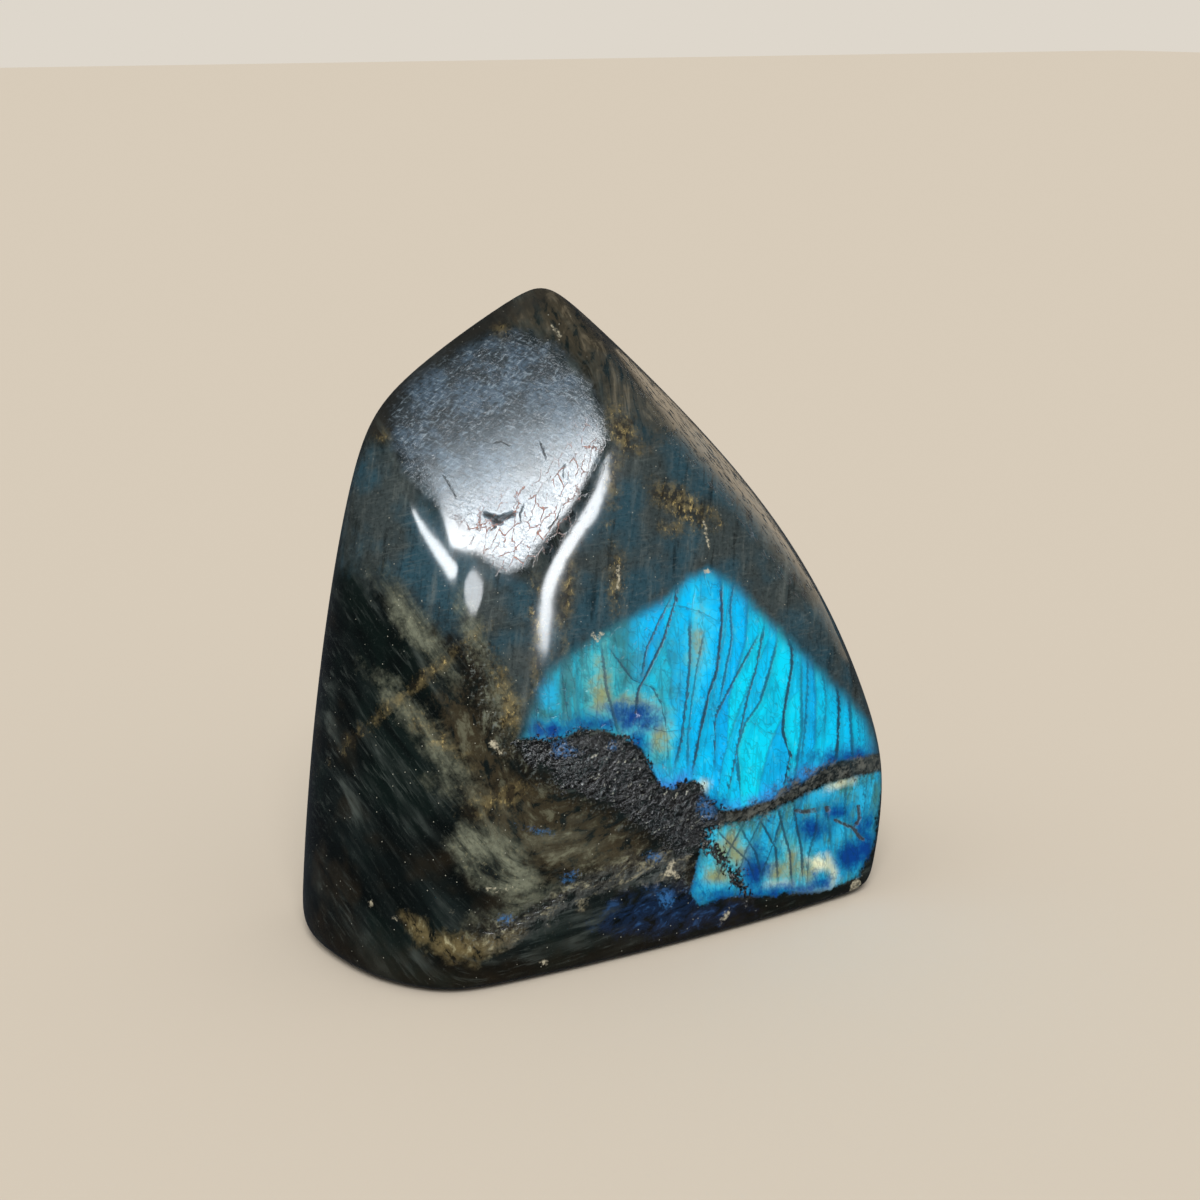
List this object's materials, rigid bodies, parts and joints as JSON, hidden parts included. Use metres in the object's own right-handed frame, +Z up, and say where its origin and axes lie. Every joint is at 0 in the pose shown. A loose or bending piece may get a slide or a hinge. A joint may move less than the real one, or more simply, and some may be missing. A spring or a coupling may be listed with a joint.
{
  "type": "labradorite freeform",
  "caption": "Polished freeform stone with a blunt peaked top, broad slightly domed faces and a flat sawn base that it stands on.",
  "frame": {"origin": "on the sawn base, under the middle of the stone's box", "axes": "+Z up from the base, -Y towards the broad front face, +X towards the sloping end, +Y through the thickness to the back"},
  "size_m": [0.1294, 0.0638, 0.128],
  "materials": {
    "polished_stone": "polished dark blue-grey feldspar with a bright blue sheen"
  },
  "bodies": {
    "root": {"labradorite_freeform": "polished_stone"}
  },
  "joints": []
}
